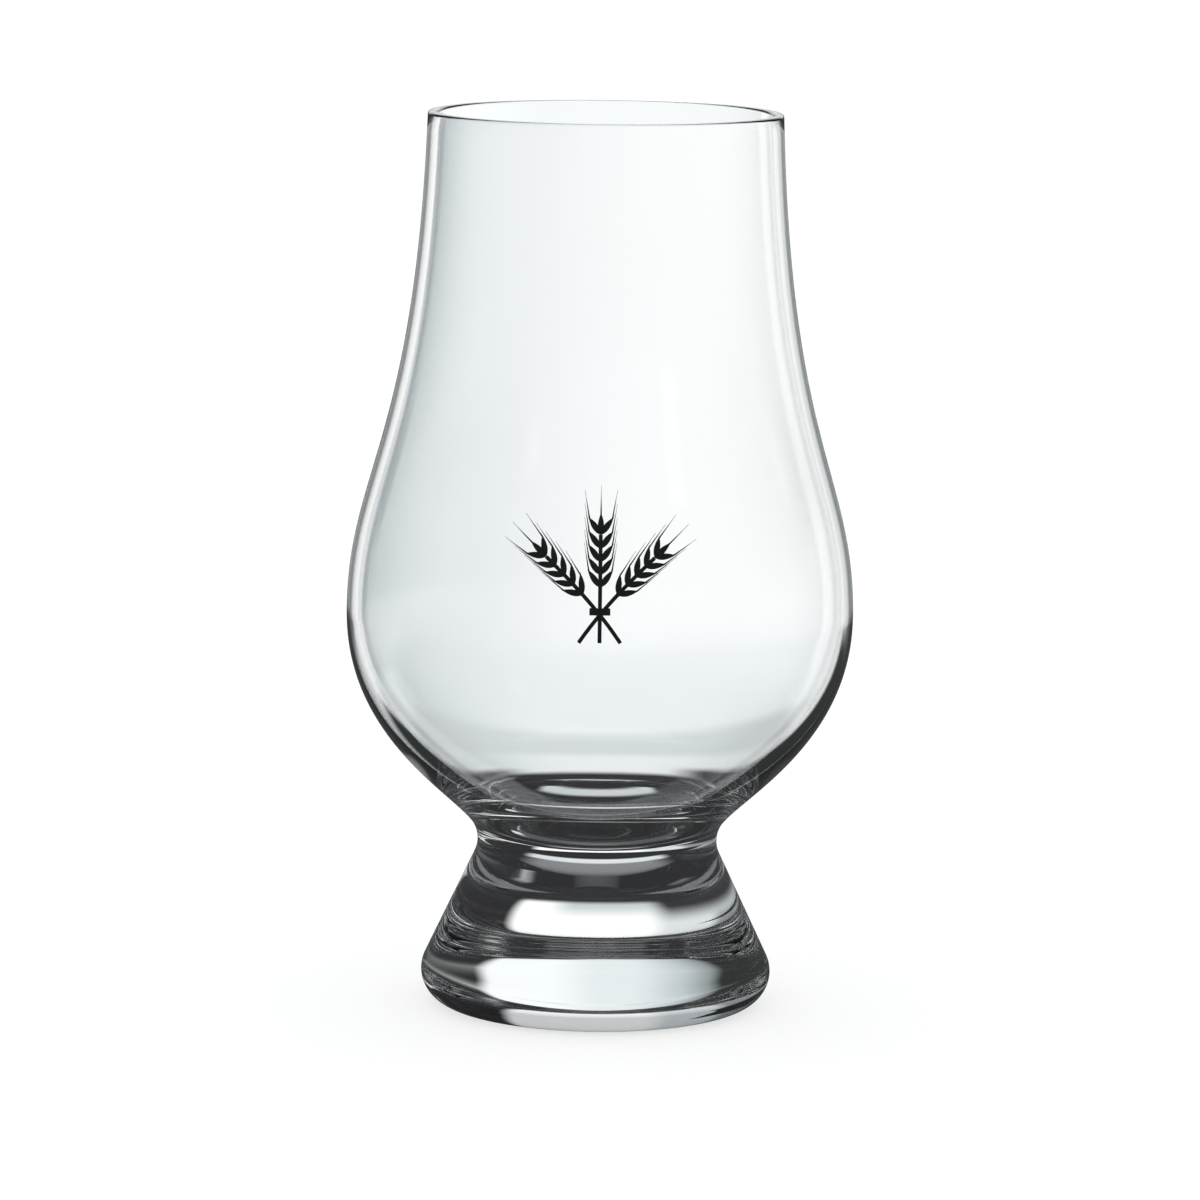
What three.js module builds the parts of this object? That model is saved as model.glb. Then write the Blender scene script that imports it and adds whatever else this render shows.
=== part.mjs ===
// A footed tulip glass for nosing and tasting whisky: a thin blown bowl on a heavy pressed foot.
// Millimetres, +Z up. The origin is the middle of the circle that the foot stands on.

import * as THREE from 'three';

// Heights above the table
const HEIGHT = 116; // lip of the rim
const BELLY_HEIGHT = 51.2; // widest circle of the bowl
const WAIST_HEIGHT = 21.5; // narrowest circle, where the foot is fused to the bowl

// Outside diameters
const RIM_DIAMETER = 45.6;
const BELLY_DIAMETER = 65.5;
const WAIST_DIAMETER = 31.1;
const FOOT_DIAMETER = 45.5;

// Thickness of the glass
const WALL = 1.4; // blown wall, from the lip down to the belly
const HEEL_WALL = 2.2; // blown wall where it runs into the base
const BASE_THICKNESS = 1.2; // between the waist and the deepest point inside

// Roundings and edges
const LIP_RADIUS = 0.4; // fire-polished edges of the rim
const WAIST_FILLET = 4.4; // hollow of the waist, seen from the side
const TOE_RADIUS = 4.3; // rounded edge of the foot
const CONTACT_RING_WIDTH = 1.9; // flat ring that touches the table
const PUNT_DEPTH = 1.5; // hollow under the foot

// Slopes of the outside, in degrees from upright
const RIM_LEAN = 1.9; // inward, at the lip
const SHOULDER_LEAN = 38; // outward, where the bowl leaves the waist

// Fullness of each outside curve: how far it keeps its end's direction, as a share of its own rise or run
const TULIP_AT_BELLY = 0.285;
const TULIP_AT_RIM = 0.668;
const SHOULDER_AT_WAIST = 0.32;
const SHOULDER_AT_BELLY = 0.58;

// Where the inside leaves the wall for the rounded bottom, as a share of the shoulder curve from the waist
const HEEL_AT = 0.35;

// Facets
const SIDES = 64; // round the axis
const LONG_CURVE_STEPS = 12;
const SHORT_ARC_STEPS = 4;
const LIP_STEPS = 3;

const QUARTER_TURN = Math.PI / 2;

const point = (radius, height) => new THREE.Vector2(radius, height);

// Unit vector at an angle above the outward radius.
const direction = (angle) => point(Math.cos(angle), Math.sin(angle));

const moved = (start, along, distance) => start.clone().addScaledVector(along, distance);

// Points of a circular arc, both ends included.
function arc(centre, radius, fromAngle, toAngle, steps) {
  const points = [];
  for (let i = 0; i <= steps; i += 1) {
    const angle = THREE.MathUtils.lerp(fromAngle, toAngle, i / steps);
    points.push(moved(centre, direction(angle), radius));
  }
  return points;
}

// Points of the wall's inner side: down the outside curve from its top end to a share of it, each shifted
// sideways into the glass by a thickness that changes evenly on the way.
function innerSide(curve, lowShare, topThickness, lowThickness, steps) {
  const points = [];
  for (let i = 0; i <= steps; i += 1) {
    const share = THREE.MathUtils.lerp(1, lowShare, i / steps);
    const thickness = THREE.MathUtils.lerp(topThickness, lowThickness, i / steps);
    const tangent = curve.getTangent(share);
    points.push(moved(curve.getPoint(share), point(-tangent.y, tangent.x), thickness));
  }
  return points;
}

// Solid of revolution. The profile runs from the axis round the glass and back to the axis.
function turned(name, profile, material) {
  const geometry = new THREE.LatheGeometry(profile, SIDES);
  geometry.rotateX(QUARTER_TURN);
  const mesh = new THREE.Mesh(geometry, material);
  mesh.name = name;
  return mesh;
}

const waistRadius = WAIST_DIAMETER / 2;
const waistCentre = point(waistRadius + WAIST_FILLET, WAIST_HEIGHT);
const rimLean = THREE.MathUtils.degToRad(RIM_LEAN);
const shoulderLean = THREE.MathUtils.degToRad(SHOULDER_LEAN);

// The bowl: waist, shoulder, belly, tulip throat and lip outside, then the hollow inside.
function bowlProfile() {
  const shoulderArc = arc(waistCentre, WAIST_FILLET, Math.PI, Math.PI - shoulderLean, SHORT_ARC_STEPS);
  const shoulder = shoulderArc[SHORT_ARC_STEPS];
  const belly = point(BELLY_DIAMETER / 2, BELLY_HEIGHT);
  const shoulderCurve = new THREE.CubicBezierCurve(
    shoulder,
    moved(shoulder, direction(QUARTER_TURN - shoulderLean), SHOULDER_AT_WAIST * (belly.x - shoulder.x)),
    moved(belly, direction(-QUARTER_TURN), SHOULDER_AT_BELLY * (belly.y - shoulder.y)),
    belly,
  );

  const lipOutside = point(RIM_DIAMETER / 2 - LIP_RADIUS, HEIGHT - LIP_RADIUS);
  const lipInside = point(lipOutside.x - (WALL - 2 * LIP_RADIUS) / Math.cos(rimLean), lipOutside.y);
  const rim = moved(lipOutside, direction(rimLean), LIP_RADIUS);
  const throatRise = rim.y - belly.y;
  const tulipCurve = new THREE.CubicBezierCurve(
    belly,
    moved(belly, direction(QUARTER_TURN), TULIP_AT_BELLY * throatRise),
    moved(rim, direction(rimLean - QUARTER_TURN), TULIP_AT_RIM * throatRise),
    rim,
  );

  const innerThroat = innerSide(tulipCurve, 0, WALL, WALL, LONG_CURVE_STEPS);
  const innerShoulder = innerSide(shoulderCurve, HEEL_AT, WALL, HEEL_WALL, LONG_CURVE_STEPS);
  const [beforeHeel, heel] = innerShoulder.slice(-2);
  const downWall = heel.clone().sub(beforeHeel);
  const bottom = point(0, WAIST_HEIGHT + BASE_THICKNESS);
  const bottomCurve = new THREE.QuadraticBezierCurve(
    heel,
    moved(heel, downWall, (bottom.y - heel.y) / downWall.y),
    bottom,
  );

  return [
    point(0, WAIST_HEIGHT),
    ...shoulderArc,
    ...shoulderCurve.getPoints(LONG_CURVE_STEPS).slice(1),
    ...tulipCurve.getPoints(LONG_CURVE_STEPS).slice(1, -1),
    ...arc(lipOutside, LIP_RADIUS, rimLean, QUARTER_TURN, LIP_STEPS),
    ...arc(lipInside, LIP_RADIUS, QUARTER_TURN, Math.PI + rimLean, LIP_STEPS),
    ...innerThroat.slice(1),
    ...innerShoulder.slice(1),
    ...bottomCurve.getPoints(2 * SHORT_ARC_STEPS).slice(1),
  ];
}

// The foot: hollow underneath, contact ring, rounded toe, straight flare and the waist's lower half.
function footProfile() {
  const toeCentre = point(FOOT_DIAMETER / 2 - TOE_RADIUS, TOE_RADIUS);
  const across = waistCentre.clone().sub(toeCentre);
  const flare = Math.asin((WAIST_FILLET + TOE_RADIUS) / across.length()) - Math.atan2(across.x, across.y);

  const puntRadius = toeCentre.x - CONTACT_RING_WIDTH;
  const puntArcRadius = (puntRadius ** 2 + PUNT_DEPTH ** 2) / (2 * PUNT_DEPTH);
  const puntCentre = point(0, PUNT_DEPTH - puntArcRadius);
  const puntEdge = Math.acos(puntRadius / puntArcRadius);

  return [
    ...arc(puntCentre, puntArcRadius, QUARTER_TURN, puntEdge, SHORT_ARC_STEPS),
    ...arc(toeCentre, TOE_RADIUS, -QUARTER_TURN, flare, 2 * SHORT_ARC_STEPS),
    ...arc(waistCentre, WAIST_FILLET, Math.PI + flare, Math.PI, SHORT_ARC_STEPS),
    point(0, WAIST_HEIGHT),
  ];
}

// Clear lead-free crystal: near white, polished by the flame.
const crystal = (colour, roughness) => new THREE.MeshStandardMaterial({
  color: colour,
  roughness,
  metalness: 0,
  transparent: true,
  opacity: 0.35,
});

const glass = new THREE.Group();
glass.add(turned('bowl', bowlProfile(), crystal('#eaf1f2', 0.02)));
glass.add(turned('foot', footProfile(), crystal('#e2eaec', 0.04)));

export default glass;
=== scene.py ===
"""A footed tulip glass for whisky tasting: clear crystal, a printed barley sheaf, a studio."""

import math
from typing import NamedTuple

import bmesh
import bpy
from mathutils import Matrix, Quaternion, Vector


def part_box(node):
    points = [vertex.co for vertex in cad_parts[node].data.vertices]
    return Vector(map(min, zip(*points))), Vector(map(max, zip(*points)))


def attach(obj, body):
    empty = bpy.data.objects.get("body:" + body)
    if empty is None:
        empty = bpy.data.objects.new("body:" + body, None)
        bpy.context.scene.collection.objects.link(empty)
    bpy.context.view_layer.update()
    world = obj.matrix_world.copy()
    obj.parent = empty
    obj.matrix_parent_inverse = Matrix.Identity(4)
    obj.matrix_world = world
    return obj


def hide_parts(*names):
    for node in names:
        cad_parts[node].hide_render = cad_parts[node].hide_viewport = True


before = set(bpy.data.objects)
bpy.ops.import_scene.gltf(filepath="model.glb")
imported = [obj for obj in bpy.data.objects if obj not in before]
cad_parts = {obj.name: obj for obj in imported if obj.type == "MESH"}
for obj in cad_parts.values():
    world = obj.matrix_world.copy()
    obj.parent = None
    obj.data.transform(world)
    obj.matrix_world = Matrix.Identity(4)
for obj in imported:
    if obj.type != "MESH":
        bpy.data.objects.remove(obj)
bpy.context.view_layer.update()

bl_info = {
    "name": "Whisky Tasting Glass",
    "version": (1, 0, 0),
    "blender": (4, 5, 0),
    "location": "3D View > Sidebar > Glass",
    "description": "Makes a footed tulip glass in clear crystal, its print and its studio",
    "category": "Add Mesh",
}

MM = 0.001
QUARTER_TURN = math.pi / 2

BOWL_LOW, BOWL_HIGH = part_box("bowl")
FOOT_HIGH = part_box("foot")[1]


def linear(code):
    """Linear colour of an sRGB hex code such as F4F6F8."""
    parts = [int(code[i:i + 2], 16) / 255 for i in (0, 2, 4)]
    return [c / 12.92 if c <= 0.04045 else ((c + 0.055) / 1.055) ** 2.4 for c in parts]


def length(name, description, metres):
    return bpy.props.FloatProperty(
        name=name, description=description, default=metres, min=0, unit="LENGTH", precision=5
    )


def angle(name, description, degrees):
    return bpy.props.FloatProperty(
        name=name, description=description, default=math.radians(degrees), unit="ROTATION"
    )


def share(name, description, value):
    return bpy.props.FloatProperty(
        name=name, description=description, default=value, min=0, subtype="FACTOR"
    )


def colour(name, description, code):
    return bpy.props.FloatVectorProperty(
        name=name,
        description=description,
        default=linear(code),
        min=0,
        max=1,
        size=3,
        subtype="COLOR",
    )


class GlassSizes(bpy.types.PropertyGroup):
    """Sizes and tints of the bowl and the foot, and the colour of the painted shade at the foot's
    toe.
    """

    height: length("Height", "From the table to the lip", BOWL_HIGH.z)
    belly_height: length("Belly height", "Widest circle of the bowl above the table", 51.2 * MM)
    waist_height: length("Waist height", "Narrowest circle, where the foot is fused on", BOWL_LOW.z)
    rim_diameter: length("Rim diameter", "Outside, at the lip", 45.6 * MM)
    belly_diameter: length("Belly diameter", "Outside, at the belly", 2 * BOWL_HIGH.x)
    waist_diameter: length("Waist diameter", "Outside, at the waist", 31.1 * MM)
    foot_diameter: length("Foot diameter", "Outside, over the toe", 2 * FOOT_HIGH.x)
    wall: length("Wall", "Blown wall from the lip down to the belly", 1.4 * MM)
    heel_wall: length("Heel wall", "Blown wall where it runs into the base", 2.2 * MM)
    base_thickness: length("Base", "Glass from the waist to the deepest point inside", 1.2 * MM)
    lip_radius: length("Lip", "Rounding of the rim's two edges", 0.4 * MM)
    waist_fillet: length("Waist fillet", "Hollow of the waist, seen from the side", 4.4 * MM)
    toe_radius: length("Toe", "Rounding of the foot's edge", 4.3 * MM)
    contact_ring: length("Contact ring", "Width of the flat ring on the table", 1.9 * MM)
    punt_depth: length("Punt", "Depth of the hollow under the foot", 1.5 * MM)
    rim_lean: angle("Rim lean", "Inward lean of the wall at the lip", 1.9)
    shoulder_lean: angle("Shoulder lean", "Outward lean where the bowl leaves the waist", 38)
    tulip_at_belly: share("Tulip at belly", "How far the throat is upright above it", 0.285)
    tulip_at_rim: share("Tulip at rim", "How far the throat keeps the lip's lean below it", 0.668)
    shoulder_at_waist: share("Shoulder at waist", "How far it keeps the waist's lean", 0.32)
    shoulder_at_belly: share("Shoulder at belly", "How far it is upright below the belly", 0.58)
    heel_at: share("Heel", "Where the inside leaves the wall, along the shoulder", 0.35)
    clear_colour: colour("Clear glass", "Tint of the glass", "FFFFFF")
    cord_colour: colour("Cords", "Tint of the faint cords in the glass", "FCFEFE")
    # Painted shade: this grey stands in for the shade that the glass close to the table lies in
    painted_toe_shade: colour("Toe tint", "Tint of the glass close to the table", "8F9294")


class PrintSizes(bpy.types.PropertyGroup):
    """Sizes and colours of the barley sheaf on the bowl's front."""

    middle_height: length("Height", "Middle of the sheaf above the table", 61.7 * MM)
    grain_length: length("Grain length", "One barley grain", 2.7 * MM)
    grain_width: length("Grain width", "One barley grain at its widest", 0.78 * MM)
    awn_length: length("Awn length", "Bristle at the tip of each grain", 3.5 * MM)
    awn_width: length("Awn width", "Bristle where it leaves the grain", 0.2 * MM)
    stalk_width: length("Stalk width", "Stalk below the ear", 0.5 * MM)
    tie_width: length("Tie width", "Band round the stalks, across", 2.6 * MM)
    tie_height: length("Tie height", "Band round the stalks, up", 0.9 * MM)
    film: length("Film", "Thickness of the ink", 0.03 * MM)
    ink_colour: colour("Ink", "Black ink", "0D0E0F")
    thin_ink_colour: colour("Thin ink", "Black ink where the screen left less of it", "1B1C1E")


class StudioSettings(bpy.types.PropertyGroup):
    """Camera and floor."""

    distance: length("Camera distance", "From the middle of the glass", 795 * MM)
    aim_height: length("Aim height", "Point in the middle of the picture", 52.9 * MM)
    elevation: angle("Elevation", "Camera above the level of the glass's middle", 8.2)
    roll: angle("Roll", "Tilt of the camera about its own axis", 0.72)
    lens: bpy.props.FloatProperty(
        name="Lens",
        description="Focal length on a 36 mm sensor",
        default=184.5,
        min=1,
        unit="CAMERA",
    )
    floor_radius: length("Floor radius", "Round floor", 20.0)
    floor_colour: colour("Floor", "Colour that takes the glass's shadow", "A3A4A5")
    floor_glow: share("Floor glow", "White added for the camera, to make the floor white", 0.68)


# Steps of the turned pieces: round the axis, along a curve, along a fillet, along a lip's edge
ROUND_SIDES = 256
CURVE_STEPS = 64
ARC_STEPS = 24
LIP_STEPS = 10

PARABOLA = 2 / 3  # of the way to a parabola's corner, where the handles of the same cubic lie
SAME_PLACE = 1e-7  # metres, closer than which two corners are one

# Angle between two faces from which the edge between them is a corner: the bowl has one only round
# its joint, the foot has faint ones where the hollow underneath meets the ring
BOWL_CORNER = math.radians(30)
FOOT_CORNER = math.radians(5)


def at_angle(turn):
    """Unit vector at an angle above the outward radius."""
    return Vector((math.cos(turn), math.sin(turn)))


def arc(centre, radius, start, end, steps):
    """Points of a circular arc, both ends included."""
    turns = [start + (end - start) * i / steps for i in range(steps + 1)]
    return [centre + radius * at_angle(turn) for turn in turns]


def cubic(handles, at):
    """Point of a cubic curve."""
    start, start_handle, end_handle, end = handles
    left = 1 - at
    middle = 3 * left * at * (left * start_handle + at * end_handle)
    return left ** 3 * start + middle + at ** 3 * end


def cubic_line(handles, first, last, steps):
    """Points of a stretch of a cubic curve, both ends included."""
    return [cubic(handles, first + (last - first) * i / steps) for i in range(steps + 1)]


def square_to(points):
    """Unit vectors square to a line at each of its points, on its left."""
    sideways = []
    for i in range(len(points)):
        along = points[min(i + 1, len(points) - 1)] - points[max(i - 1, 0)]
        sideways.append(Vector((-along.y, along.x)).normalized())
    return sideways


def inner_side(outside, low_thickness, top_thickness):
    """A rising line's points moved into the glass by a thickness that changes evenly."""
    steps = len(outside) - 1
    gain = top_thickness - low_thickness
    thicknesses = [low_thickness + gain * i / steps for i in range(steps + 1)]
    return [p + t * side for p, t, side in zip(outside, thicknesses, square_to(outside))]


def waist_centre(sizes):
    """Centre of the waist's fillet, seen from the side."""
    return Vector((sizes.waist_diameter / 2 + sizes.waist_fillet, sizes.waist_height))


def shoulder_handles(sizes):
    """Outside from the waist's fillet to the belly."""
    start = waist_centre(sizes) + sizes.waist_fillet * at_angle(math.pi - sizes.shoulder_lean)
    belly = Vector((sizes.belly_diameter / 2, sizes.belly_height))
    rising = at_angle(QUARTER_TURN - sizes.shoulder_lean)
    return (
        start,
        start + sizes.shoulder_at_waist * (belly.x - start.x) * rising,
        belly - Vector((0, sizes.shoulder_at_belly * (belly.y - start.y))),
        belly,
    )


def lip_centres(sizes):
    """Centres of the rounding on the lip's outer and inner edge."""
    outer = Vector((sizes.rim_diameter / 2 - sizes.lip_radius, sizes.height - sizes.lip_radius))
    across = (sizes.wall - 2 * sizes.lip_radius) / math.cos(sizes.rim_lean)
    return outer, outer - Vector((across, 0))


def tulip_handles(sizes):
    """Outside from the belly to the lip."""
    belly = Vector((sizes.belly_diameter / 2, sizes.belly_height))
    rim = lip_centres(sizes)[0] + sizes.lip_radius * at_angle(sizes.rim_lean)
    rise = rim.y - belly.y
    return (
        belly,
        belly + Vector((0, sizes.tulip_at_belly * rise)),
        rim + sizes.tulip_at_rim * rise * at_angle(sizes.rim_lean - QUARTER_TURN),
        rim,
    )


def bowl_profile(sizes):
    """Waist, shoulder, tulip and lip outside, then the wall's inner side and the rounded bottom."""
    lean = sizes.shoulder_lean
    waist = arc(waist_centre(sizes), sizes.waist_fillet, math.pi, math.pi - lean, ARC_STEPS)
    shoulder = cubic_line(shoulder_handles(sizes), 0, 1, CURVE_STEPS)
    tulip = cubic_line(tulip_handles(sizes), 0, 1, CURVE_STEPS)
    outer_lip, inner_lip = lip_centres(sizes)
    inner_tulip = inner_side(tulip, sizes.wall, sizes.wall)
    above_heel = cubic_line(shoulder_handles(sizes), sizes.heel_at, 1, CURVE_STEPS)
    inner_shoulder = inner_side(above_heel, sizes.heel_wall, sizes.wall)
    heel, after_heel = inner_shoulder[:2]
    bottom = Vector((0, sizes.waist_height + sizes.base_thickness))
    rising = after_heel - heel
    corner = heel + rising * (bottom.y - heel.y) / rising.y
    bottom_handles = (heel, heel.lerp(corner, PARABOLA), bottom.lerp(corner, PARABOLA), bottom)
    return (
        waist
        + shoulder[1:]
        + tulip[1:-1]
        + arc(outer_lip, sizes.lip_radius, sizes.rim_lean, QUARTER_TURN, LIP_STEPS)
        + arc(inner_lip, sizes.lip_radius, QUARTER_TURN, math.pi + sizes.rim_lean, LIP_STEPS)
        + inner_tulip[-2:0:-1]
        + inner_shoulder[::-1]
        + cubic_line(bottom_handles, 0, 1, CURVE_STEPS)[1:]
    )


def foot_profile(sizes):
    """Hollow underneath, contact ring, toe, straight flare and the waist's lower half."""
    toe = Vector((sizes.foot_diameter / 2 - sizes.toe_radius, sizes.toe_radius))
    waist = waist_centre(sizes)
    across = waist - toe
    reach = sizes.waist_fillet + sizes.toe_radius
    flare = math.asin(reach / across.length) - math.atan2(across.x, across.y)
    punt_radius = toe.x - sizes.contact_ring
    dome_radius = (punt_radius ** 2 + sizes.punt_depth ** 2) / (2 * sizes.punt_depth)
    dome = Vector((0, sizes.punt_depth - dome_radius))
    return (
        arc(dome, dome_radius, QUARTER_TURN, math.acos(punt_radius / dome_radius), ARC_STEPS)
        + arc(toe, sizes.toe_radius, -QUARTER_TURN, flare, 2 * ARC_STEPS)
        + arc(waist, sizes.waist_fillet, math.pi + flare, math.pi, ARC_STEPS)
    )


def add_object(name, form):
    """Object made of a finished bmesh."""
    mesh = bpy.data.meshes.new(name)
    form.to_mesh(mesh)
    form.free()
    piece = bpy.data.objects.new(name, mesh)
    bpy.context.scene.collection.objects.link(piece)
    return piece


def turned_piece(name, profile, joint_height, corner_angle):
    """Closed solid of revolution, with its flat joint face in the second material slot."""
    form = bmesh.new()
    corners = [form.verts.new((p.x, 0, p.y)) for p in profile]
    joint_centre = form.verts.new((0, 0, joint_height))
    joint_edge = min(corners, key=lambda v: (abs(v.co.z - joint_height), v.co.x))
    edges = [form.edges.new(pair) for pair in zip(corners, corners[1:])]
    edges.append(form.edges.new((joint_edge, joint_centre)))
    bmesh.ops.spin(
        form,
        geom=form.verts[:] + edges,
        axis=(0, 0, 1),
        cent=(0, 0, 0),
        steps=ROUND_SIDES,
        angle=2 * math.pi,
        use_merge=True,
    )
    bmesh.ops.remove_doubles(form, verts=form.verts[:], dist=SAME_PLACE)
    bmesh.ops.recalc_face_normals(form, faces=form.faces[:])
    for face in form.faces:
        face.smooth = True
        if all(abs(v.co.z - joint_height) < SAME_PLACE for v in face.verts):
            face.material_index = 1
    for edge in form.edges:
        if len(edge.link_faces) == 2 and edge.calc_face_angle() > corner_angle:
            edge.smooth = False
    return add_object(name, form)


PRINT_LIFT = 0.006 * MM  # the lowest ink above the glass, so that the two faces don't coincide
INK_STEP = 0.005 * MM  # each kind of stroke above the kind before it
STALK_LEVEL, AWN_LEVEL, GRAIN_LEVEL, TIE_LEVEL = range(4)
STROKE_COLUMNS = 4
STROKE_STEPS = 10
STALK_STEPS = 30
POINTED = 0.02 * MM  # half width of a stroke's pointed end
GRAIN_FULLNESS = 0.8  # under 1, a grain is widest nearer its start
JUST_BEFORE = 0.01  # share of a stalk over which its direction is taken

# The sheaf, from its middle: stalks spread below the tie and fan out above it
FAN = (-1, 0, 1)  # place of each ear across the fan
FAN_LEAN = math.radians(48)  # lean of the outermost ears
STALK_SPREAD = 2.6 * MM
STALK_FOOT = -9.3 * MM
TIE_HEIGHT = -5.4 * MM
EAR_SPREAD = 6.8 * MM
EAR_TOP = 4.0 * MM
EAR_DROOP = 2.8 * MM  # how much lower the outermost ears end
EAR_BEND = 5.0 * MM  # length over which a stalk takes its ear's lean
EAR_START = 0.55  # share of the stalk below its first grains
GRAIN_ROWS = 5
GRAIN_LEAN = math.radians(36)
AWN_LEAN = math.radians(10)


class Stroke(NamedTuple):
    """A stroke of the print: its centre line, half its width at each point, its level of ink."""

    line: list
    half_widths: list
    level: int


def swelling(width):
    """Half widths of a stroke that swells from one point and tapers to another."""
    places = [(i / STROKE_STEPS) ** GRAIN_FULLNESS for i in range(STROKE_STEPS + 1)]
    return [width / 2 * math.sin(math.pi * place) for place in places]


def straight(start, towards, distance):
    """Points of a straight line, both ends included."""
    return [start + towards * distance * i / STROKE_STEPS for i in range(STROKE_STEPS + 1)]


def leaning(along, lean):
    """A direction turned by an angle."""
    return Vector((
        along.x * math.cos(lean) - along.y * math.sin(lean),
        along.x * math.sin(lean) + along.y * math.cos(lean),
    ))


def grain(base, along, lean, sizes):
    """A barley grain and its awn."""
    body = straight(base, leaning(along, lean * GRAIN_LEAN), sizes.grain_length)
    awn = straight(body[-2], leaning(along, lean * AWN_LEAN), sizes.awn_length)
    awn_halves = [sizes.awn_width / 2 * (1 - i / STROKE_STEPS) for i in range(STROKE_STEPS + 1)]
    return [
        Stroke(body, swelling(sizes.grain_width), GRAIN_LEVEL),
        Stroke(awn, awn_halves, AWN_LEVEL),
    ]


def barley(fan, sizes):
    """One stalk with its ear, at a place across the fan from -1 to 1."""
    ear_end = Vector((EAR_SPREAD * fan, EAR_TOP - EAR_DROOP * fan ** 2))
    stalk = (
        Vector((-STALK_SPREAD * fan, STALK_FOOT)),
        Vector((0, TIE_HEIGHT)),
        ear_end - EAR_BEND * at_angle(QUARTER_TURN - fan * FAN_LEAN),
        ear_end,
    )
    stem = cubic_line(stalk, 0, 1, STALK_STEPS)
    strokes = [Stroke(stem, [sizes.stalk_width / 2] * len(stem), STALK_LEVEL)]
    for row in range(GRAIN_ROWS):
        at = EAR_START + (1 - EAR_START) * row / (GRAIN_ROWS - 1)
        base = cubic(stalk, at)
        along = (base - cubic(stalk, at - JUST_BEFORE)).normalized()
        for lean in (-1, 1):
            strokes += grain(base, along, lean, sizes)
    return strokes + grain(base, along, 0, sizes)


def tie(sizes):
    """Band round the stalks."""
    left = Vector((-sizes.tie_width / 2, TIE_HEIGHT))
    band = straight(left, Vector((1, 0)), sizes.tie_width)
    return Stroke(band, [sizes.tie_height / 2] * len(band), TIE_LEVEL)


def on_bowl(place, outside, sizes, lift):
    """Where a place of the flat print comes on the bowl's front, a little above the glass."""
    height = sizes.middle_height + place.y
    below, above = next(pair for pair in zip(outside, outside[1:]) if pair[1].y >= height)
    radius = below.x + (above.x - below.x) * (height - below.y) / (above.y - below.y)
    turn = place.x / radius
    outward = Vector((math.sin(turn), -math.cos(turn), 0))
    return (radius + lift) * outward + Vector((0, 0, height))


def add_stroke(form, mark, outside, sizes):
    """Adds a stroke as a closed film wrapped on the bowl."""
    low = PRINT_LIFT + mark.level * INK_STEP
    columns = [2 * k / STROKE_COLUMNS - 1 for k in range(STROKE_COLUMNS + 1)]
    sheets = []
    for lift in (low, low + sizes.film):
        rows = []
        for middle, half, side in zip(mark.line, mark.half_widths, square_to(mark.line)):
            reach = side * max(half, POINTED)
            places = [middle + reach * column for column in columns]
            rows.append([form.verts.new(on_bowl(p, outside, sizes, lift)) for p in places])
        sheets.append(rows)
    under, over = sheets
    for rows in sheets:
        for row, following in zip(rows, rows[1:]):
            for k in range(STROKE_COLUMNS):
                form.faces.new((row[k], row[k + 1], following[k + 1], following[k]))
    borders = (
        ([row[0] for row in under], [row[0] for row in over]),
        ([row[-1] for row in under], [row[-1] for row in over]),
        (under[0], over[0]),
        (under[-1], over[-1]),
    )
    for low_edge, high_edge in borders:
        for k in range(len(low_edge) - 1):
            form.faces.new((low_edge[k], low_edge[k + 1], high_edge[k + 1], high_edge[k]))


def node(tree, kind, inputs=None, **settings):
    """Adds a node, sets its properties and fills its inputs with values or links."""
    made = tree.nodes.new(kind)
    for key, value in settings.items():
        setattr(made, key, value)
    for key, value in (inputs or {}).items():
        if isinstance(value, bpy.types.NodeSocket):
            tree.links.new(value, made.inputs[key])
        else:
            made.inputs[key].default_value = value
    return made


def new_material(name):
    """An empty material and its node tree."""
    material = bpy.data.materials.new(name)
    material.use_nodes = True
    material.node_tree.nodes.clear()
    return material, material.node_tree


# Sockets of a Mix node that mixes colours
MIX_SHARE, MIX_FIRST, MIX_SECOND, MIX_RESULT = 0, 6, 7, 2

CRYSTAL_IOR = 1.52
CORD_DETAIL = 1.0  # with little finer waviness in the cords
CORD_BREAKUP = 0.4  # how strong that is
TOE_SHADE = (2.5 * MM, 3.3 * MM)  # above the table, over which the painted toe shade fades from the greyest to clear glass


class Cords(NamedTuple):
    """The faint cords that hot working leaves in glass, their depth as waves on its surface."""

    width: float
    length_to_width: float
    depth: float


BLOWN_CORDS = Cords(7 * MM, 5.0, 0.004 * MM)  # drawn out upright
PRESSED_CORDS = Cords(9 * MM, 1.0, 0.02 * MM)  # as long as wide


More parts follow.
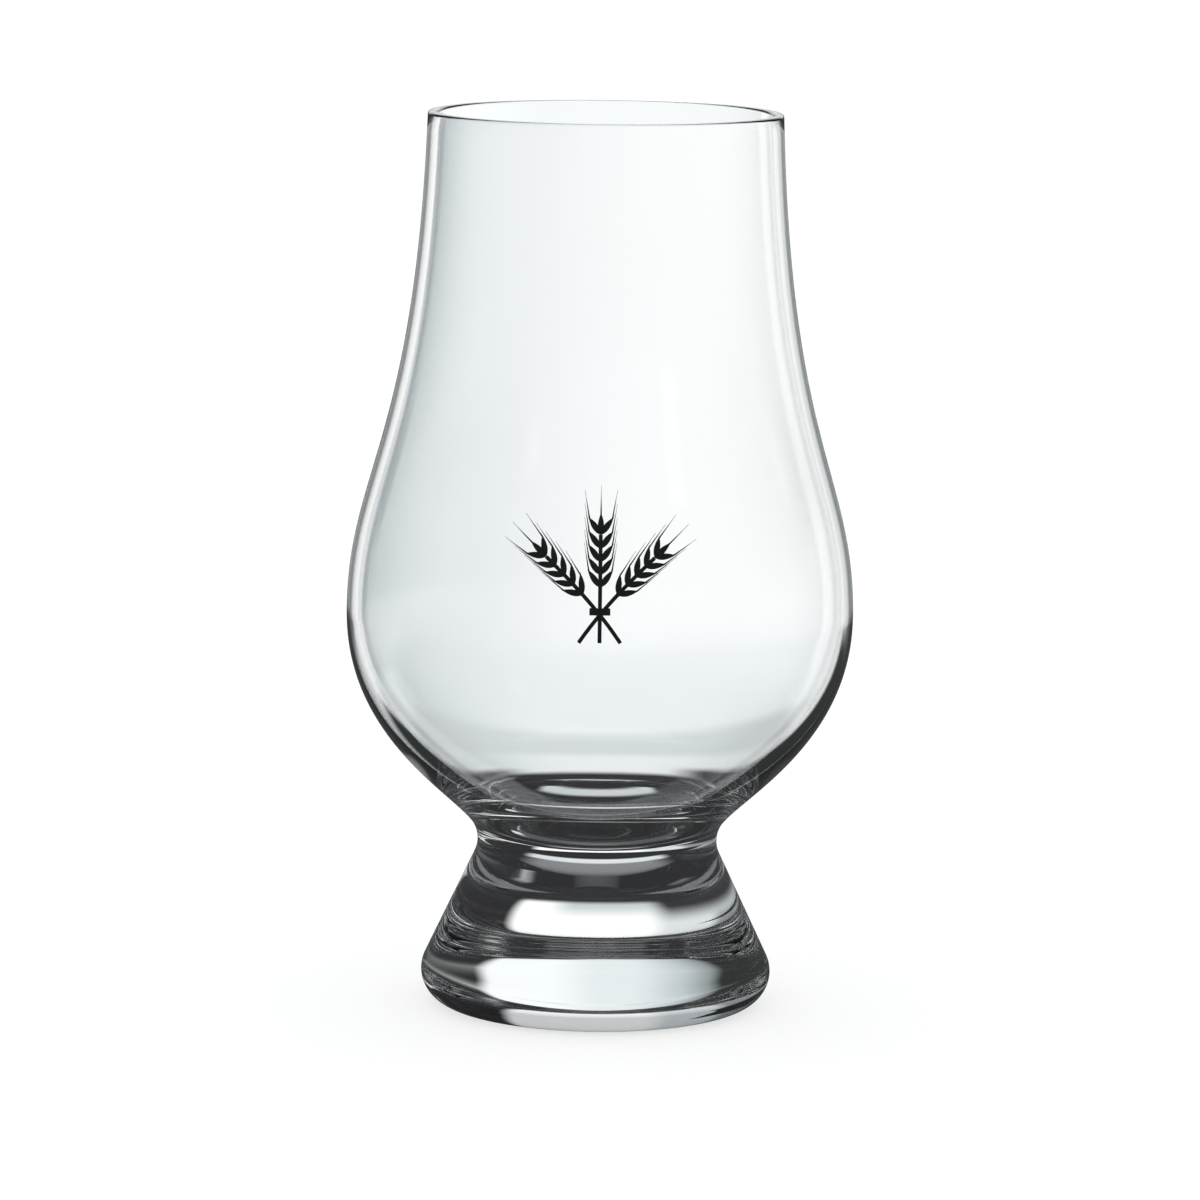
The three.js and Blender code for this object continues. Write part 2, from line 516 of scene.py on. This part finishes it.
def crystal(name, sizes, cords):
    """Clear crystal whose cords give a soft waviness and a breath of tint.

    From outside, the glass close to the table is painted greyer, a painted shade for the shade that
    it lies in.
    """
    material, tree = new_material(name)
    coords = node(tree, "ShaderNodeTexCoord")
    drawn = node(
        tree,
        "ShaderNodeMapping",
        {"Vector": coords.outputs["Object"], "Scale": (1, 1, 1 / cords.length_to_width)},
    )
    waves = node(
        tree,
        "ShaderNodeTexNoise",
        {
            "Vector": drawn.outputs["Vector"],
            "Scale": 1 / cords.width,
            "Detail": CORD_DETAIL,
            "Roughness": CORD_BREAKUP,
        },
    )
    tint = node(tree, "ShaderNodeValToRGB", {"Fac": waves.outputs["Fac"]})
    tint.color_ramp.elements[0].color = (*sizes.cord_colour, 1)
    tint.color_ramp.elements[1].color = (*sizes.clear_colour, 1)
    # Painted shade: close to the table, seen from outside, the glass's colour turns to the toe's
    # grey
    place = node(tree, "ShaderNodeSeparateXYZ", {"Vector": coords.outputs["Object"]})
    clear = node(
        tree,
        "ShaderNodeMapRange",
        {"Value": place.outputs["Z"], "From Min": TOE_SHADE[0], "From Max": TOE_SHADE[1]},
    )
    from_inside = node(tree, "ShaderNodeNewGeometry").outputs["Backfacing"]
    unshaded = node(
        tree, "ShaderNodeMath", {0: clear.outputs["Result"], 1: from_inside}, operation="MAXIMUM"
    )
    shaded = node(
        tree,
        "ShaderNodeMix",
        {
            MIX_SHARE: unshaded.outputs["Value"],
            MIX_FIRST: (*sizes.painted_toe_shade, 1),
            MIX_SECOND: tint.outputs["Color"],
        },
        data_type="RGBA",
    )
    relief = node(
        tree, "ShaderNodeBump", {"Height": waves.outputs["Fac"], "Distance": cords.depth}
    )
    surface = node(
        tree,
        "ShaderNodeBsdfPrincipled",
        {
            "Base Color": shaded.outputs[MIX_RESULT],
            "Normal": relief.outputs["Normal"],
            "Roughness": 0.0,
            "IOR": CRYSTAL_IOR,
            "Transmission Weight": 1.0,
        },
    )
    node(tree, "ShaderNodeOutputMaterial", {"Surface": surface.outputs["BSDF"]})
    return material


def blown_crystal(sizes):
    """Blown in a turning mould, then fire-polished: upright cords, only seen in its edges."""
    return crystal("crystal blown and fire-polished", sizes, BLOWN_CORDS)


def pressed_crystal(sizes):
    """Pressed hot in an iron mould, then fire-polished: round chill waves ripple what it shows."""
    return crystal("crystal pressed and fire-polished", sizes, PRESSED_CORDS)


def fused_joint():
    """Fused joint: the two glasses melted into one, so the eye sees no face there."""
    material, tree = new_material("crystal fused joint")
    clear = node(tree, "ShaderNodeBsdfTransparent")
    node(tree, "ShaderNodeOutputMaterial", {"Surface": clear.outputs["BSDF"]})
    return material


INK_IOR = 1.5
INK_SPECK = 0.35 * MM  # some three times a real screen's mesh, so that the specks show
INK_DETAIL = 3.0  # with finer specks in the specks
INK_BREAKUP = 0.6  # how strong these are
INK_RELIEF = 0.004 * MM
INK_SATIN = (0.35, 0.55)  # roughness, from the densest ink to the thinnest


def ceramic_ink(sizes):
    """Ceramic ink, screen-printed and fired on: dense satin black, thinner in the mesh's specks."""
    material, tree = new_material("ceramic ink screen-printed and fired")
    coords = node(tree, "ShaderNodeTexCoord")
    specks = node(
        tree,
        "ShaderNodeTexNoise",
        {
            "Vector": coords.outputs["Object"],
            "Scale": 1 / INK_SPECK,
            "Detail": INK_DETAIL,
            "Roughness": INK_BREAKUP,
        },
    )
    shade = node(tree, "ShaderNodeValToRGB", {"Fac": specks.outputs["Fac"]})
    shade.color_ramp.elements[0].color = (*sizes.ink_colour, 1)
    shade.color_ramp.elements[1].color = (*sizes.thin_ink_colour, 1)
    satin = node(
        tree,
        "ShaderNodeMapRange",
        {"Value": specks.outputs["Fac"], "To Min": INK_SATIN[0], "To Max": INK_SATIN[1]},
    )
    relief = node(
        tree, "ShaderNodeBump", {"Height": specks.outputs["Fac"], "Distance": INK_RELIEF}
    )
    surface = node(
        tree,
        "ShaderNodeBsdfPrincipled",
        {
            "Base Color": shade.outputs["Color"],
            "Roughness": satin.outputs["Result"],
            "Normal": relief.outputs["Normal"],
            "IOR": INK_IOR,
        },
    )
    node(tree, "ShaderNodeOutputMaterial", {"Surface": surface.outputs["BSDF"]})
    return material


class Card(NamedTuple):
    """A soft-edged patch in the studio, by its edges across and up as the glass sees them."""

    colour: str
    left: float
    right: float
    bottom: float
    top: float
    side_blur: float
    end_blur: float


ALL_ROUND = 200  # degrees, beyond the half turn on either side
POLE = 100  # degrees, beyond straight up or down
FAR = 1e6  # millimetres, beyond the floor's edge

WHITE = (*linear("FFFFFF"), 1)

# A little over white, because the faces of the glass turn part of the light back
GLASS_LIGHT = 1.17

# What the glass shows of the studio by reflection inside it. Degrees: across from straight behind
# the glass, to the right, and up from level. Each card hangs before the ones above it.
# Dark room round the studio; on the floor the same colour is painted shade
DARK_ROOM = "2B2B2C"
REFLECTED_CARDS = (
    # Ceiling behind the glass and over the camera
    Card("565859", -60, 60, 36, 62, 10, 10),
    Card("6E7172", 148, ALL_ROUND, 14, 46, 8, 8),
    Card("6E7172", -ALL_ROUND, -148, 14, 46, 8, 8),
    # White paper straight below
    Card("D6DBDD", -ALL_ROUND, ALL_ROUND, -POLE, -64, 6, 6),
    # Low lamps beside the camera
    Card("B0B4B6", 135.5, 142, -45, -37.5, 4, 4),
    Card("B0B4B6", -142, -133, -40, -31, 4, 4),
    # Backdrop and its shaded left side
    Card("F2F5F6", -27, 26, -30, 28, 6, 6),
    Card("DFE5E7", -45, 4, 2, 34, 12, 8),
    Card("B4BDC0", -45, -14, 4, 32, 16, 16),
    Card("8A9193", -45, -23, 2, 32, 10, 12),
    # Dark room left of the strip light, the strip light, and a low pale table under it
    Card("2D2E2E", -62, -37, -20, 40, 6, 6),
    Card("2D2E2E", -62, -28.5, 6, 40, 6, 6),
    Card("FFFFFF", -38, -20, -28, 3, 5, 5),
    Card("CDD3D5", -64, -30, -36, -24, 6, 6),
    # White wall on the right, with the glow round it
    Card("FFFFFF", 20, 100, -33, 5, 80, 24),
    Card("FFFFFF", 27, 62, -33, 5, 6, 6),
    # Grey flags on both sides
    Card("868B8D", -20.5, -6, -15, 3, 7, 6),
    Card("868B8D", 5, 19, -14, 3, 7, 6),
    # Dark edges of the table on both sides
    Card("2D2E2E", 8, 27, -40, -13, 5, 5),
    Card("2D2E2E", -28, -8, -40, -25, 5, 5),
)

# What the outside shows by reflection: a dim room with a grey ceiling and a white backdrop
ROOM_IN_FRONT = "4A4C4D"
OUTSIDE_CARDS = (
    Card("8C8F90", -20, 20, 3, 75, 10, 6),
    Card("FFFFFF", -20, 20, 3, 20, 10, 6),
)

# What the bowl shows straight through its two walls: white paper, shaded on the left
WHITE_ROOM = "FFFFFF"
BOWL_CARDS = (
    Card("C2CBCD", -70, -5.7, -POLE, POLE, 18, 10),
)

# The same on the floor: degrees across, and millimetres out from the middle of the glass
BOWL_FLOOR_CARDS = (
    # Paper near the glass, a little darker: faint painted shade
    Card("F0F3F4", -ALL_ROUND, ALL_ROUND, -1, 250, 10, 160),
    # Shaded left side, far off and near
    Card("C2CBCD", -70, -5.7, 260, FAR, 18, 360),
    Card("D9E0E2", -70, -11, -1, 260, 16, 360),
)

# Painted shade on the same, where light leaves the bowl close to the foot
BOWL_SHADES = (
    # Painted shade: a grey band on the flat paper, standing for where the paper bends
    Card("D9DEE0", -75, 75, 86, 126, 10, 18),
    # Shade under the foot, and behind it on both sides
    Card("303031", -ALL_ROUND, ALL_ROUND, -20, 44, 10, 12),
    Card("303031", -75, -13, 14, 56, 8, 12),
    Card("303031", 13, 75, 14, 62, 8, 12),
)

# What the foot shows straight through
FOOT_CARDS = (
    # Dull foot of the backdrop, and the shade behind the foot
    Card("C4CACC", -75, 10, -40, -19, 10, 16),
    Card("303031", -75, 75, -75, -30, 10, 7),
    # Shaded left side of the backdrop, darker low down and far out
    Card("D8DDDF", -75, -15, -22, POLE, 8, 10),
    Card("303031", -75, -17, -75, -15, 8, 20),
    Card("8F9496", -75, -36, -9, POLE, 8, 16),
    # Dark gap right of the backdrop
    Card("2A2A2B", 22, 62, -POLE, POLE, 5, 10),
)

# What the neck shows of the floor straight through, steeply from above
NECK_CARDS = (
    # Painted light, for what the glass gathers on the paper, faint and then strong
    Card("85898B", -14, 14, 27, 45, 10, 10),
    Card("DDE2E4", -17, 17, 43.5, 53.5, 6, 4),
)
NECK_EXCESS = -12.5 * MM  # a ray's length less its end's distance from the glass's middle
NECK_EXCESS_RANGE = 5 * MM  # either way

MOUTH_PAPER = "F0F3F4"  # what the back of the mouth shows of the floor through its one wall
BELLY_EXIT = (40 * MM, 50 * MM)  # light that leaves the glass above this misses the foot's shades
STEEP = (0.84, 0.90)  # slope, as a sine, past which the bowl shows plain paper from above
PLAIN_COSINE = 0.5  # Layer Weight's Blend at which its Facing is one less the slope

# Shade under the foot by reflection, but for the ring where the foot touches the paper
FLOOR_SHADES = (
    Card(DARK_ROOM, -ALL_ROUND, ALL_ROUND, -1, 16.4, 1.2, 1.2),
    Card(DARK_ROOM, -ALL_ROUND, ALL_ROUND, 18.7, 40, 1.2, 1.2),
)


def shown_in_glass(code):
    """Inputs of a light that has a colour as glass shows it."""
    return {"Color": (*linear(code), 1), "Strength": GLASS_LIGHT}


def hang_card(tree, light, behind, card, across, up):
    """Hangs a card before what is behind it."""
    edges = (
        (across, card.left, card.side_blur, 0, 1),
        (across, card.right, card.side_blur, 1, 0),
        (up, card.bottom, card.end_blur, 0, 1),
        (up, card.top, card.end_blur, 1, 0),
    )
    cover = 1.0
    for place, edge, blur, before, after in edges:
        fade = node(
            tree,
            "ShaderNodeMapRange",
            {
                "Value": place,
                "From Min": edge - blur / 2,
                "From Max": edge + blur / 2,
                "To Min": before,
                "To Max": after,
            },
            interpolation_type="SMOOTHSTEP",
        )
        part = node(
            tree, "ShaderNodeMath", {0: cover, 1: fade.outputs["Result"]}, operation="MULTIPLY"
        )
        cover = part.outputs["Value"]
    lit = node(tree, light, shown_in_glass(card.colour)).outputs[0]
    return node(tree, "ShaderNodeMixShader", {0: cover, 1: behind, 2: lit}).outputs["Shader"]


def hang_cards(tree, light, behind, cards, across, up):
    """Hangs cards one before the other."""
    for card in cards:
        behind = hang_card(tree, light, behind, card, across, up)
    return behind


def degrees_across(tree, place):
    """Angle of a direction or place round the glass, from straight behind it to the right."""
    turn = node(
        tree, "ShaderNodeMath", {0: place.outputs["X"], 1: place.outputs["Y"]}, operation="ARCTAN2"
    )
    across = node(tree, "ShaderNodeMath", {0: turn.outputs["Value"]}, operation="DEGREES")
    return across.outputs["Value"]


class RayKinds(NamedTuple):
    """What a ray met on its way to the floor or the world, each as 0 or 1."""

    from_camera: bpy.types.NodeSocket
    from_glass: bpy.types.NodeSocket
    reflected: bpy.types.NodeSocket
    inside: bpy.types.NodeSocket
    through_bowl: bpy.types.NodeSocket


NO_FACE = 0.5  # faces passed or met, below one
ONE_PIECE = 2.5  # faces passed, between the two of the foot and the four of the bowl


def ray_kinds(tree, rays):
    """Sorts rays. One through the bowl passes four faces of glass, one through the foot two."""
    from_glass = node(
        tree,
        "ShaderNodeMath",
        {0: rays.outputs["Is Transmission Ray"], 1: rays.outputs["Is Glossy Ray"]},
        operation="MAXIMUM",
    )
    reflected, inside, through_bowl = [
        node(tree, "ShaderNodeMath", {0: rays.outputs[count], 1: over}, operation="GREATER_THAN")
        for count, over in (
            ("Glossy Depth", NO_FACE),
            ("Transmission Depth", NO_FACE),
            ("Transmission Depth", ONE_PIECE),
        )
    ]
    return RayKinds(
        rays.outputs["Is Camera Ray"],
        from_glass.outputs["Value"],
        reflected.outputs["Value"],
        inside.outputs["Value"],
        through_bowl.outputs["Value"],
    )


def studio_world():
    """White light all round; glass shows the cards that give it its dark and bright edges."""
    world = bpy.data.worlds.new("studio")
    world.use_nodes = True
    tree = world.node_tree
    tree.nodes.clear()
    coords = node(tree, "ShaderNodeTexCoord")
    towards = node(tree, "ShaderNodeSeparateXYZ", {"Vector": coords.outputs["Generated"]})
    across = degrees_across(tree, towards)
    rise = node(tree, "ShaderNodeMath", {0: towards.outputs["Z"]}, operation="ARCSINE")
    up = node(tree, "ShaderNodeMath", {0: rise.outputs["Value"]}, operation="DEGREES")
    up = up.outputs["Value"]
    kinds = ray_kinds(tree, node(tree, "ShaderNodeLightPath"))
    light = "ShaderNodeBackground"
    foot_light, bowl_light, inside_light, outside_light = [
        hang_cards(
            tree,
            light,
            node(tree, light, shown_in_glass(room)).outputs["Background"],
            cards,
            across,
            up,
        )
        for room, cards in (
            (WHITE_ROOM, FOOT_CARDS),
            (WHITE_ROOM, BOWL_CARDS),
            (DARK_ROOM, REFLECTED_CARDS),
            (ROOM_IN_FRONT, OUTSIDE_CARDS),
        )
    ]
    straight_light = node(
        tree, "ShaderNodeMixShader", {0: kinds.through_bowl, 1: foot_light, 2: bowl_light}
    )
    reflected_light = node(
        tree, "ShaderNodeMixShader", {0: kinds.inside, 1: outside_light, 2: inside_light}
    )
    glass_light = node(
        tree,
        "ShaderNodeMixShader",
        {
            0: kinds.reflected,
            1: straight_light.outputs["Shader"],
            2: reflected_light.outputs["Shader"],
        },
    )
    white = node(tree, "ShaderNodeBackground", {"Color": WHITE, "Strength": 1.0})
    whole = node(
        tree,
        "ShaderNodeMixShader",
        {0: kinds.from_glass, 1: white.outputs["Background"], 2: glass_light.outputs["Shader"]},
    )
    node(tree, "ShaderNodeOutputWorld", {"Surface": whole.outputs["Shader"]})
    return world


def floor_in_glass(tree, rays, kinds, coords):
    """The floor as glass shows it: paper that glows, with painted shade and painted light on it."""
    light = "ShaderNodeEmission"
    white_paper, painted_shade_paper, mouth_paper = [
        node(tree, light, shown_in_glass(paper)).outputs["Emission"]
        for paper in (WHITE_ROOM, DARK_ROOM, MOUTH_PAPER)
    ]
    clear = node(tree, "ShaderNodeBsdfTransparent").outputs["BSDF"]
    place = node(tree, "ShaderNodeSeparateXYZ", {"Vector": coords.outputs["Object"]})
    across = degrees_across(tree, place)
    distance = node(
        tree, "ShaderNodeVectorMath", {0: coords.outputs["Object"]}, operation="LENGTH"
    ).outputs["Value"]
    out = node(tree, "ShaderNodeMath", {0: distance, 1: MM}, operation="DIVIDE").outputs["Value"]

    # How steep a ray comes down, and how high up it left the glass
    flatness = node(tree, "ShaderNodeLayerWeight", {"Blend": PLAIN_COSINE}).outputs["Facing"]
    slope = node(tree, "ShaderNodeMath", {0: 1.0, 1: flatness}, operation="SUBTRACT")
    slope = slope.outputs["Value"]
    exit_height = node(
        tree, "ShaderNodeMath", {0: rays.outputs["Ray Length"], 1: slope}, operation="MULTIPLY"
    ).outputs["Value"]
    high, overhead = [
        node(
            tree,
            "ShaderNodeMapRange",
            {"Value": value, "From Min": limits[0], "From Max": limits[1]},
        ).outputs["Result"]
        for value, limits in ((exit_height, BELLY_EXIT), (slope, STEEP))
    ]

    # Through the bowl: plain paper, with the foot's shades where the ray left the glass low down
    bowl_paper = hang_cards(tree, light, white_paper, BOWL_FLOOR_CARDS, across, out)
    bowl_shade = hang_cards(tree, light, bowl_paper, BOWL_SHADES, across, out)
    unshaded = node(tree, "ShaderNodeMath", {0: high, 1: overhead}, operation="MAXIMUM")
    bowl_light = node(
        tree,
        "ShaderNodeMixShader",
        {0: unshaded.outputs["Value"], 1: bowl_shade, 2: bowl_paper},
    )

    # Through one wall: the neck's own floor in painted shade with painted light on it, else the
    # studio beyond; paper behind the mouth
    neck_light = hang_cards(tree, light, painted_shade_paper, NECK_CARDS, across, out)
    excess = node(
        tree, "ShaderNodeMath", {0: rays.outputs["Ray Length"], 1: distance}, operation="SUBTRACT"
    )
    through_neck = node(
        tree,
        "ShaderNodeMath",
        {0: excess.outputs["Value"], 1: NECK_EXCESS, 2: NECK_EXCESS_RANGE},
        operation="COMPARE",
    )
    foot_light = node(
        tree, "ShaderNodeMixShader", {0: through_neck.outputs["Value"], 1: clear, 2: neck_light}
    )
    one_wall = node(
        tree, "ShaderNodeMixShader", {0: high, 1: foot_light.outputs["Shader"], 2: mouth_paper}
    )

    straight_light = node(
        tree,
        "ShaderNodeMixShader",
        {0: kinds.through_bowl, 1: one_wall.outputs["Shader"], 2: bowl_light.outputs["Shader"]},
    )
    reflected_light = hang_cards(tree, light, clear, FLOOR_SHADES, across, out)
    return node(
        tree,
        "ShaderNodeMixShader",
        {0: kinds.reflected, 1: straight_light.outputs["Shader"], 2: reflected_light},
    )


def floor_paper(studio):
    """Matt white paper: it takes the glass's soft shadow and is otherwise white to the eye."""
    material, tree = new_material("paper matt white")
    material.cycles.emission_sampling = "NONE"
    rays = node(tree, "ShaderNodeLightPath")
    kinds = ray_kinds(tree, rays)
    in_glass = floor_in_glass(tree, rays, kinds, node(tree, "ShaderNodeTexCoord"))
    glow = node(
        tree, "ShaderNodeMath", {0: kinds.from_camera, 1: studio.floor_glow}, operation="MULTIPLY"
    )
    white = node(
        tree, "ShaderNodeEmission", {"Color": WHITE, "Strength": glow.outputs["Value"]}
    )
    matt = node(tree, "ShaderNodeBsdfDiffuse", {"Color": (*studio.floor_colour, 1)})
    paper = node(
        tree, "ShaderNodeAddShader", {0: matt.outputs["BSDF"], 1: white.outputs["Emission"]}
    )
    surface = node(
        tree,
        "ShaderNodeMixShader",
        {0: kinds.from_glass, 1: paper.outputs["Shader"], 2: in_glass.outputs["Shader"]},
    )
    node(tree, "ShaderNodeOutputMaterial", {"Surface": surface.outputs["Shader"]})
    return material


class GLASS_OT_bowl(bpy.types.Operator):
    """Make the blown bowl"""

    bl_idname = "tasting_glass.bowl"
    bl_label = "Bowl"

    def execute(self, context):
        sizes = context.scene.glass_sizes
        profile = bowl_profile(sizes)
        piece = turned_piece("blown_bowl", profile, sizes.waist_height, BOWL_CORNER)
        piece.data.materials.append(blown_crystal(sizes))
        piece.data.materials.append(fused_joint())
        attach(piece, "root")
        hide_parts("bowl")
        return {"FINISHED"}


class GLASS_OT_foot(bpy.types.Operator):
    """Make the pressed foot"""

    bl_idname = "tasting_glass.foot"
    bl_label = "Foot"

    def execute(self, context):
        sizes = context.scene.glass_sizes
        profile = foot_profile(sizes)
        piece = turned_piece("pressed_foot", profile, sizes.waist_height, FOOT_CORNER)
        piece.data.materials.append(pressed_crystal(sizes))
        piece.data.materials.append(fused_joint())
        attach(piece, "root")
        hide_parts("foot")
        return {"FINISHED"}


class GLASS_OT_print(bpy.types.Operator):
    """Print the barley sheaf on the bowl's front"""

    bl_idname = "tasting_glass.print"
    bl_label = "Print"

    def execute(self, context):
        sizes = context.scene.glass_print
        outside = cubic_line(tulip_handles(context.scene.glass_sizes), 0, 1, CURVE_STEPS)
        form = bmesh.new()
        strokes = [tie(sizes)]
        for fan in FAN:
            strokes += barley(fan, sizes)
        for mark in strokes:
            add_stroke(form, mark, outside, sizes)
        bmesh.ops.recalc_face_normals(form, faces=form.faces[:])
        piece = add_object("barley_print", form)
        piece.data.materials.append(ceramic_ink(sizes))
        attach(piece, "root")
        return {"FINISHED"}


FLOOR_GAP = 0.02 * MM  # below the foot's ring, so that the two faces don't coincide
GLASS_BOUNCES = 32  # faces of glass that light may meet on its way
MIRROR_BOUNCES = 24  # how many of these may turn it back


class GLASS_OT_stage(bpy.types.Operator):
    """Make the floor, the light and the camera"""

    bl_idname = "tasting_glass.stage"
    bl_label = "Studio"

    def execute(self, context):
        scene = context.scene
        studio = scene.glass_studio
        scene.view_settings.view_transform = "Standard"
        scene.cycles.max_bounces = GLASS_BOUNCES
        scene.cycles.transmission_bounces = GLASS_BOUNCES
        scene.cycles.glossy_bounces = MIRROR_BOUNCES
        scene.cycles.transparent_max_bounces = GLASS_BOUNCES
        scene.world = studio_world()

        form = bmesh.new()
        bmesh.ops.create_circle(
            form, cap_ends=True, radius=studio.floor_radius, segments=ROUND_SIDES
        )
        floor = add_object("paper_floor", form)
        floor.location.z = -FLOOR_GAP
        floor.data.materials.append(floor_paper(studio))

        middle = Vector((0, 0, scene.glass_sizes.height / 2))
        lens = bpy.data.cameras.new("camera")
        lens.lens = studio.lens
        camera = bpy.data.objects.new("camera", lens)
        scene.collection.objects.link(camera)
        away = Vector((0, -math.cos(studio.elevation), math.sin(studio.elevation)))
        camera.location = middle + studio.distance * away
        looking = Vector((0, 0, studio.aim_height)) - camera.location
        turn = looking.to_track_quat("-Z", "Y") @ Quaternion((0, 0, 1), studio.roll)
        camera.rotation_euler = turn.to_euler()
        scene.camera = camera
        return {"FINISHED"}


class GLASS_PT_panel(bpy.types.Panel):
    """The glass, piece by piece"""

    bl_idname = "GLASS_PT_panel"
    bl_label = "Tasting Glass"
    bl_space_type = "VIEW_3D"
    bl_region_type = "UI"
    bl_category = "Glass"

    def draw(self, context):
        for operator in OPERATORS:
            self.layout.operator(operator.bl_idname)


OPERATORS = (GLASS_OT_bowl, GLASS_OT_foot, GLASS_OT_print, GLASS_OT_stage)
CLASSES = (GlassSizes, PrintSizes, StudioSettings, *OPERATORS, GLASS_PT_panel)


def register():
    for cls in CLASSES:
        bpy.utils.register_class(cls)
    bpy.types.Scene.glass_sizes = bpy.props.PointerProperty(type=GlassSizes)
    bpy.types.Scene.glass_print = bpy.props.PointerProperty(type=PrintSizes)
    bpy.types.Scene.glass_studio = bpy.props.PointerProperty(type=StudioSettings)


def unregister():
    del bpy.types.Scene.glass_studio
    del bpy.types.Scene.glass_print
    del bpy.types.Scene.glass_sizes
    for cls in reversed(CLASSES):
        bpy.utils.unregister_class(cls)


def main():
    register()
    bpy.ops.tasting_glass.bowl()
    bpy.ops.tasting_glass.foot()
    bpy.ops.tasting_glass.print()
    bpy.ops.tasting_glass.stage()


if __name__ == "__main__":
    main()
